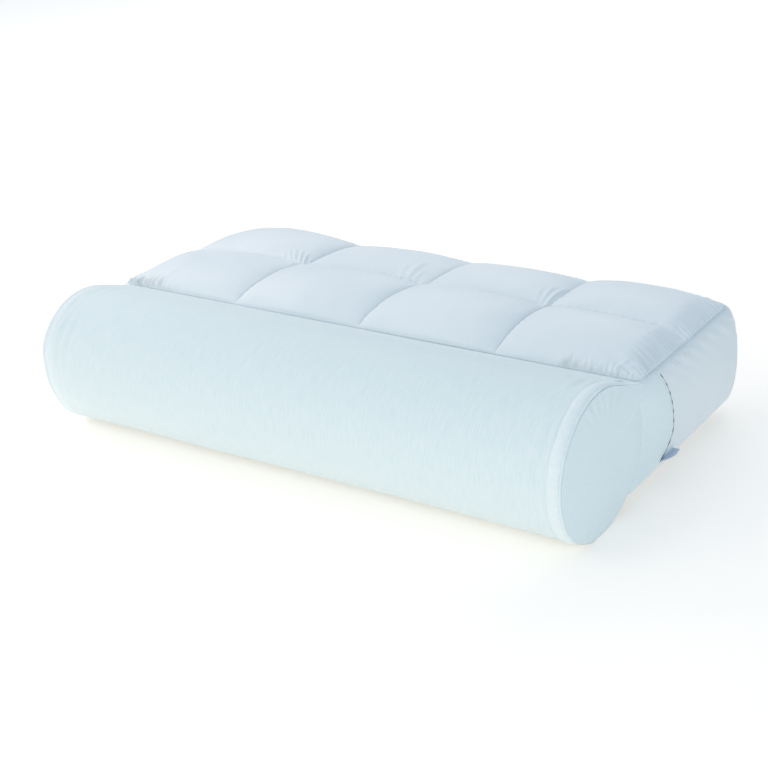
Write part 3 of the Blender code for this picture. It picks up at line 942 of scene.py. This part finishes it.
def label_route():
    """Stations of the folded label: it lies along the wall, and its near end curls up."""
    route = []
    for step in range(LABEL_STEPS + 1):
        share = step / LABEL_STEPS
        curl = (1 - share) ** 3
        sway = LABEL_SWAY * math.sin(share * 5)
        rise = LABEL_CURL_RISE * curl + LABEL_WAVE * math.sin(share * 7)
        place = LABEL_FOOT + Vector((sway, share * LABEL_LENGTH, rise))
        tilt = math.radians(LABEL_TILT_DEG + LABEL_CURL_DEG * curl)
        route.append((place, LABEL_HALF_REACH, LABEL_HALF_THICKNESS, tilt))
    return route


# Materials

def hex_colour(text):
    """sRGB hex to the linear values that a shader takes."""
    linear = []
    for start in (1, 3, 5):
        value = int(text[start:start + 2], 16) / 255
        linear.append(value / 12.92 if value <= 0.04045 else ((value + 0.055) / 1.055) ** 2.4)
    return (*linear, 1.0)


def add_node(material, kind, settings=None, links=None):
    """Adds a node, sets its fields and sockets by name or number, and links its inputs."""
    node = material.node_tree.nodes.new(kind)
    for key, value in (settings or {}).items():
        if isinstance(key, int) or key in node.inputs:
            node.inputs[key].default_value = value
        else:
            setattr(node, key, value)
    for key, source in (links or {}).items():
        material.node_tree.links.new(source, node.inputs[key])
    return node


def new_material(name, roughness, sheen):
    """A cloth's material and its shader, with the fibre's IOR and the soft gleam of its loose ends."""
    material = bpy.data.materials.new(name)
    material.use_nodes = True
    shader = material.node_tree.nodes["Principled BSDF"]
    shader.inputs["Roughness"].default_value = roughness
    shader.inputs["IOR"].default_value = FIBRE_IOR
    shader.inputs["Sheen Weight"].default_value = sheen
    shader.inputs["Sheen Roughness"].default_value = SHEEN_ROUGHNESS
    return material, shader


def two_tone(material, source, dark, light, start=0.3, end=0.7):
    """Runs from the darker to the lighter colour as the source runs from start to end."""
    ramp = add_node(material, "ShaderNodeValToRGB", links={"Fac": source})
    ramp.color_ramp.elements[0].position = start
    ramp.color_ramp.elements[0].color = dark
    ramp.color_ramp.elements[1].position = end
    ramp.color_ramp.elements[1].color = light
    return ramp.outputs["Color"]


def sateen_material(dark, light):
    """Cotton sateen: floats of fine yarn lie over the surface, so it is smooth and has a soft gleam."""
    material, shader = new_material("cotton_sateen_woven", 0.52, 0.25)
    place = add_node(material, "ShaderNodeTexCoord").outputs["Object"]
    # Its shade drifts over a hand's breadth or so.
    clouds = {"Scale": 1 / (111 * MM), "Detail": 2.0}
    slow = add_node(material, "ShaderNodeTexNoise", clouds, {"Vector": place}).outputs["Fac"]
    tone = two_tone(material, slow, dark, light)
    material.node_tree.links.new(tone, shader.inputs["Base Color"])
    # Handling leaves it softly crushed in patches of a finger's width.
    patches = {"Scale": 1 / (16.7 * MM), "Detail": 3.0, "Distortion": 0.6}
    crush = add_node(material, "ShaderNodeTexNoise", patches, {"Vector": place}).outputs["Fac"]
    relief = {"Strength": 0.18, "Distance": 0.8 * MM}
    soft = add_node(material, "ShaderNodeBump", relief, {"Height": crush}).outputs["Normal"]
    # The yarns are about 0.2 mm wide and are drawn four times as coarse to show at all.
    yarns = {"Scale": 1 / (0.8 * MM), "Detail": 1.0}
    weave = add_node(material, "ShaderNodeTexNoise", yarns, {"Vector": place}).outputs["Fac"]
    links = {"Height": weave, "Normal": soft}
    bump = add_node(material, "ShaderNodeBump", {"Strength": 0.12, "Distance": 0.2 * MM}, links)
    material.node_tree.links.new(bump.outputs["Normal"], shader.inputs["Normal"])
    return material


def knit_material(dark, light):
    """Fine jersey knit: slightly hairy, with slubs and light streaks that run round the tube."""
    material, shader = new_material("cotton_jersey_knitted", 0.8, 0.3)
    cloth = add_node(material, "ShaderNodeUVMap", {"uv_map": "cloth"}).outputs["UV"]
    # Streaks are 1.6 mm wide and 18 mm long.
    stretch = {"Scale": (1 / (1.6 * MM), 1 / (18 * MM), 1)}
    streaks_at = add_node(material, "ShaderNodeMapping", stretch, {"Vector": cloth}).outputs["Vector"]
    slubs = {"Scale": 1.0, "Detail": 3.0, "Roughness": 0.6}
    streaks = add_node(material, "ShaderNodeTexNoise", slubs, {"Vector": streaks_at}).outputs["Fac"]
    tone = two_tone(material, streaks, dark, light, 0.35, 0.72)
    material.node_tree.links.new(tone, shader.inputs["Base Color"])
    relief = {"Strength": 0.22, "Distance": 0.5 * MM}
    broad = add_node(material, "ShaderNodeBump", relief, {"Height": streaks}).outputs["Normal"]
    # Wales stand 0.8 mm apart and courses 0.6 mm, near the real gauge of such a jersey.
    gauge = {"Scale": (1 / (0.8 * MM), 1 / (0.6 * MM), 1)}
    loops_at = add_node(material, "ShaderNodeMapping", gauge, {"Vector": cloth}).outputs["Vector"]
    knit = {"Scale": 1.0, "Randomness": 0.45}
    loops = add_node(material, "ShaderNodeTexVoronoi", knit, {"Vector": loops_at})
    links = {"Height": loops.outputs["Distance"], "Normal": broad}
    bump = add_node(material, "ShaderNodeBump", {"Strength": 0.3, "Distance": 0.25 * MM}, links)
    material.node_tree.links.new(bump.outputs["Normal"], shader.inputs["Normal"])
    return material


def set_second_material(obj, material, wanted):
    """Gives a second material to the faces whose middle the test picks out, in the seams' frame."""
    obj.data.materials.append(material)
    for face in obj.data.polygons:
        if wanted(Vector(face.center) - SEAMS_TO_ROW):
            face.material_index = 1


def on_end_disc(place):
    """Whether a place on the roll lies on one of its end discs or their round edges."""
    return min(-place.x, place.x + ROLL_LENGTH) < END_ROUND


def on_lobe(place):
    """Whether a place on the body lies on the end wall before its crease."""
    from_end = min(-place.x, place.x - BODY_LEFT)
    on_wall = from_end < LOBE_EDGE and BASE_SEAM_HEIGHT < place.z < SEAM_HEIGHT
    return on_wall and place.y < crease_y(place.z)


def plain_cloth(name, colour, dark, grain, roughness, relief=0.3):
    """A plain sewn strip: its woven grain shows as a fine mottle."""
    material, shader = new_material(name, roughness, 0.3)
    place = add_node(material, "ShaderNodeTexCoord").outputs["Object"]
    grains = {"Scale": 1 / grain, "Detail": 2.0}
    mottle = add_node(material, "ShaderNodeTexNoise", grains, {"Vector": place}).outputs["Fac"]
    tone = two_tone(material, mottle, dark, colour)
    material.node_tree.links.new(tone, shader.inputs["Base Color"])
    settings = {"Strength": relief, "Distance": 0.3 * MM}
    bump = add_node(material, "ShaderNodeBump", settings, {"Height": mottle})
    material.node_tree.links.new(bump.outputs["Normal"], shader.inputs["Normal"])
    return material


# Sizes and colours that a user may change

def colour_property(name, description, default):
    """A colour that the panel shows, from its sRGB hex value."""
    return bpy.props.FloatVectorProperty(
        name=name,
        description=description,
        subtype="COLOR",
        size=4,
        min=0,
        max=1,
        default=hex_colour(default),
    )


class PillowBodyProps(bpy.types.PropertyGroup):
    puff: bpy.props.FloatProperty(
        name="Puff",
        description="Rise of each sewn square over its seams",
        default=18 * MM,
        unit="LENGTH",
    )
    slack: bpy.props.FloatProperty(
        name="Slack",
        description="Share of the gathers and folds beside the seams",
        default=1.0,
        subtype="FACTOR",
    )
    light: colour_property("Sateen", "Colour of the sateen where it is palest", "#e7edef")
    dark: colour_property("Sateen, deeper", "Colour of the sateen where it is deepest", "#dde6e9")


class PillowRollProps(bpy.types.PropertyGroup):
    lumpiness: bpy.props.FloatProperty(
        name="Lumpiness",
        description="Share of the roll's soft unevenness",
        default=1.0,
        subtype="FACTOR",
    )
    light: colour_property("Knit", "Colour of the jersey's light streaks", "#e4edec")
    dark: colour_property("Knit, deeper", "Colour of the jersey between its streaks", "#dae8e9")
    ends: colour_property("End cloth", "Colour of the end discs and the lobes beside them", "#e3eef1")


class PillowTrimProps(bpy.types.PropertyGroup):
    piping: colour_property("Piping", "Colour of the piping", "#d8e3e9")
    bead: colour_property("Bead", "Colour of the padded beads", "#e8f0f0")
    label: colour_property("Label", "Colour of the blank label", "#cbd5e5")
    # One dark colour for the crease stitches and for the painted shade line down each crease.
    stitches_and_shade_line: colour_property("Thread", "Colour of the stitches in the creases", "#46566a")


class PillowStageProps(bpy.types.PropertyGroup):
    lens: bpy.props.FloatProperty(
        name="Lens",
        description="Focal length of the camera",
        default=71.3,
        unit="CAMERA",
    )
    key: bpy.props.FloatProperty(
        name="Key light",
        description="Strength of the key light",
        default=20.9,
        unit="POWER",
    )
    room: bpy.props.FloatProperty(
        name="Room light",
        description="Strength of the studio's own light",
        default=0.575,
    )
    table: bpy.props.FloatProperty(
        name="Table light",
        description="Glow of the table it lies on",
        default=0.225,
    )
    shade: colour_property("Shade", "Colour of the light in the shadows", "#cfe9ff")


# Operators

def end_cloth(scene):
    """The plain jersey of the roll's end discs and of the lobes behind them, made once."""
    name = "cotton_jersey_plain"
    made = bpy.data.materials.get(name)
    if made:
        return made
    props = scene.pillow_roll
    return plain_cloth(name, props.ends[:], props.dark[:], 1.2 * MM, 0.8, relief=0.12)


class PILLOW_OT_body(bpy.types.Operator):
    """Makes the quilted body of sateen, with its squares, gathers and creased gusset"""

    bl_idname = "pillow.make_body"
    bl_label = "Make body"

    def execute(self, context):
        props = context.scene.pillow_body
        cloth = sateen_material(props.dark[:], props.light[:])
        body = make_object(body_mesh(props.puff, props.slack), "quilted_body", cloth)
        set_second_material(body, end_cloth(context.scene), on_lobe)
        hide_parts("pillow_body")
        return {"FINISHED"}


class PILLOW_OT_roll(bpy.types.Operator):
    """Makes the neck roll of knit, with its tail to the front seam and its two end discs"""

    bl_idname = "pillow.make_roll"
    bl_label = "Make neck roll"

    def execute(self, context):
        props = context.scene.pillow_roll
        cloth = knit_material(props.dark[:], props.light[:])
        roll = make_object(neck_roll_mesh(props.lumpiness), "knit_roll", cloth)
        set_second_material(roll, end_cloth(context.scene), on_end_disc)
        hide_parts("neck_roll")
        return {"FINISHED"}


class PILLOW_OT_beads(bpy.types.Operator):
    """Makes the soft bead round each end of the roll"""

    bl_idname = "pillow.make_beads"
    bl_label = "Make beads"

    def execute(self, context):
        colour = context.scene.pillow_trim.bead[:]
        cloth = plain_cloth("brushed_cotton_knitted", colour, hex_colour(BEAD_DEEPER), 4 * MM, 0.85)
        for name, x in (("right", -BEAD_FROM_END), ("left", BEAD_FROM_END - ROLL_LENGTH)):
            bead = sweep(f"bead_{name}", bead_route(x, BEAD_INSETS[name]), BEAD_SIDES, cloth)
            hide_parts(f"roll_bead_{name}")
        return {"FINISHED"}


class PILLOW_OT_trim(bpy.types.Operator):
    """Makes the piping round the top seam and the folded blank label"""

    bl_idname = "pillow.make_trim"
    bl_label = "Make piping and label"

    def execute(self, context):
        props = context.scene.pillow_trim
        deeper = hex_colour(PIPING_DEEPER)
        cord_cloth = plain_cloth("cotton_bias_piping", props.piping[:], deeper, 1 * MM, 0.7)
        route = [(place, PIPING_RADIUS, PIPING_RADIUS, 0.0) for place in seam_route(PIPING_SPACING)]
        piping = sweep("seam_piping", route, PIPING_SIDES, cord_cloth, closed=True)
        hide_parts("top_piping")
        deeper = hex_colour(LABEL_DEEPER)
        label_cloth = plain_cloth("satin_label_tape", props.label[:], deeper, 1 * MM, 0.5)
        label = sweep("folded_label", label_route(), LABEL_SIDES, label_cloth)
        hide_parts("side_label")
        return {"FINISHED"}


class PILLOW_OT_stitches(bpy.types.Operator):
    """Makes the painted shade line and the dark stitches down the crease of each end"""

    bl_idname = "pillow.make_stitches"
    bl_label = "Make stitches"

    def execute(self, context):
        bm = bmesh.new()
        add_crease_shade_line_and_stitches(bm, mirrored=False)
        add_crease_shade_line_and_stitches(bm, mirrored=True)
        # One dark material for the stitches and for the line of painted crease shade.
        stitches_and_shade_line, shader = new_material("dark_stitches_and_painted_crease_shade", 0.6, 0.1)
        shader.inputs["Base Color"].default_value = context.scene.pillow_trim.stitches_and_shade_line[:]
        make_object(bm, "crease_stitches_and_painted_shade_line", stitches_and_shade_line)
        return {"FINISHED"}


def floor_material(table_glow):
    """White acrylic sweep, lit a little from below as a product table is, and more further out."""
    material, shader = new_material("white_acrylic_sweep", 0.9, 0.0)
    shader.inputs["Base Color"].default_value = hex_colour(FLOOR_COLOUR)
    shader.inputs["Emission Color"].default_value = hex_colour(GLOW_COLOUR)
    place = add_node(material, "ShaderNodeTexCoord").outputs["Object"]
    length = add_node(material, "ShaderNodeVectorMath", {"operation": "LENGTH"}, {0: place})
    near, far = GLOW_GROWS
    spread = {"From Min": near, "From Max": far, "To Min": table_glow, "To Max": FAR_GLOW}
    glow = add_node(material, "ShaderNodeMapRange", spread, {"Value": length.outputs["Value"]})
    material.node_tree.links.new(glow.outputs["Result"], shader.inputs["Emission Strength"])
    return material


def make_floor(scene, table_glow):
    """The sweep that the pillow lies on."""
    bm = bmesh.new()
    bmesh.ops.create_grid(bm, x_segments=1, y_segments=1, size=FLOOR_HALF_SIZE)
    mesh = bpy.data.meshes.new("studio_floor")
    bm.to_mesh(mesh)
    bm.free()
    mesh.materials.append(floor_material(table_glow))
    floor = bpy.data.objects.new("studio_floor", mesh)
    scene.collection.objects.link(floor)


def make_room(scene, shade, strength):
    """The studio's own light, which reaches into the shadows."""
    room = bpy.data.worlds.new("studio")
    room.use_nodes = True
    background = room.node_tree.nodes["Background"]
    background.inputs["Color"].default_value = shade
    background.inputs["Strength"].default_value = strength
    scene.world = room


class PILLOW_OT_stage(bpy.types.Operator):
    """Makes the floor, the studio light and the camera"""

    bl_idname = "pillow.make_stage"
    bl_label = "Make stage"

    def execute(self, context):
        props = context.scene.pillow_stage
        make_floor(context.scene, props.table)
        for name, place, size, share, colour in SOFT_BOXES:
            make_light(name, place, size, props.key * share, colour)
        make_room(context.scene, props.shade[:], props.room)
        context.scene.view_settings.view_transform = "Standard"
        make_camera(context.scene, props.lens)
        return {"FINISHED"}


def make_light(name, place, size, power, colour):
    """A square soft box that faces the pillow."""
    lamp = bpy.data.lights.new(name, "AREA")
    lamp.size = size
    lamp.energy = power
    lamp.color = colour
    obj = bpy.data.objects.new(name, lamp)
    obj.location = place
    obj.rotation_euler = (-Vector(place)).to_track_quat("-Z", "Y").to_euler()
    bpy.context.scene.collection.objects.link(obj)


def make_camera(scene, lens):
    """The camera at the photograph's place."""
    camera = bpy.data.cameras.new("camera")
    camera.lens = lens
    camera.sensor_width = SENSOR_WIDTH
    camera.clip_start = CLIP_START
    obj = bpy.data.objects.new("camera", camera)
    turn = Matrix((CAMERA_RIGHT, CAMERA_UP, CAMERA_RIGHT.cross(CAMERA_UP))).transposed().to_4x4()
    obj.matrix_world = Matrix.Translation(CAMERA_PLACE) @ turn
    scene.collection.objects.link(obj)
    scene.camera = obj


class VIEW3D_PT_pillow(bpy.types.Panel):
    """Lists the pillow's pieces and their sizes"""

    bl_label = "Contour pillow"
    bl_space_type = "VIEW_3D"
    bl_region_type = "UI"
    bl_category = "Contour pillow"

    def draw(self, context):
        for name, operators in STEPS:
            box = self.layout.box()
            group = getattr(context.scene, name)
            for key in group.__annotations__:
                box.prop(group, key)
            for operator in operators:
                box.operator(operator)


STEPS = (
    ("pillow_stage", ("pillow.make_stage",)),
    ("pillow_body", ("pillow.make_body",)),
    ("pillow_roll", ("pillow.make_roll",)),
    ("pillow_trim", ("pillow.make_beads", "pillow.make_trim", "pillow.make_stitches")),
)
GROUPS = {
    "pillow_stage": PillowStageProps,
    "pillow_body": PillowBodyProps,
    "pillow_roll": PillowRollProps,
    "pillow_trim": PillowTrimProps,
}
CLASSES = (
    *GROUPS.values(),
    PILLOW_OT_stage,
    PILLOW_OT_body,
    PILLOW_OT_roll,
    PILLOW_OT_beads,
    PILLOW_OT_trim,
    PILLOW_OT_stitches,
    VIEW3D_PT_pillow,
)


def register():
    for item in CLASSES:
        bpy.utils.register_class(item)
    for name, group in GROUPS.items():
        setattr(bpy.types.Scene, name, bpy.props.PointerProperty(type=group))


def unregister():
    for name in GROUPS:
        delattr(bpy.types.Scene, name)
    for item in reversed(CLASSES):
        bpy.utils.unregister_class(item)


def main():
    register()
    bpy.ops.pillow.make_stage()
    bpy.ops.pillow.make_body()
    bpy.ops.pillow.make_roll()
    bpy.ops.pillow.make_beads()
    bpy.ops.pillow.make_trim()
    bpy.ops.pillow.make_stitches()


if __name__ == "__main__":
    main()
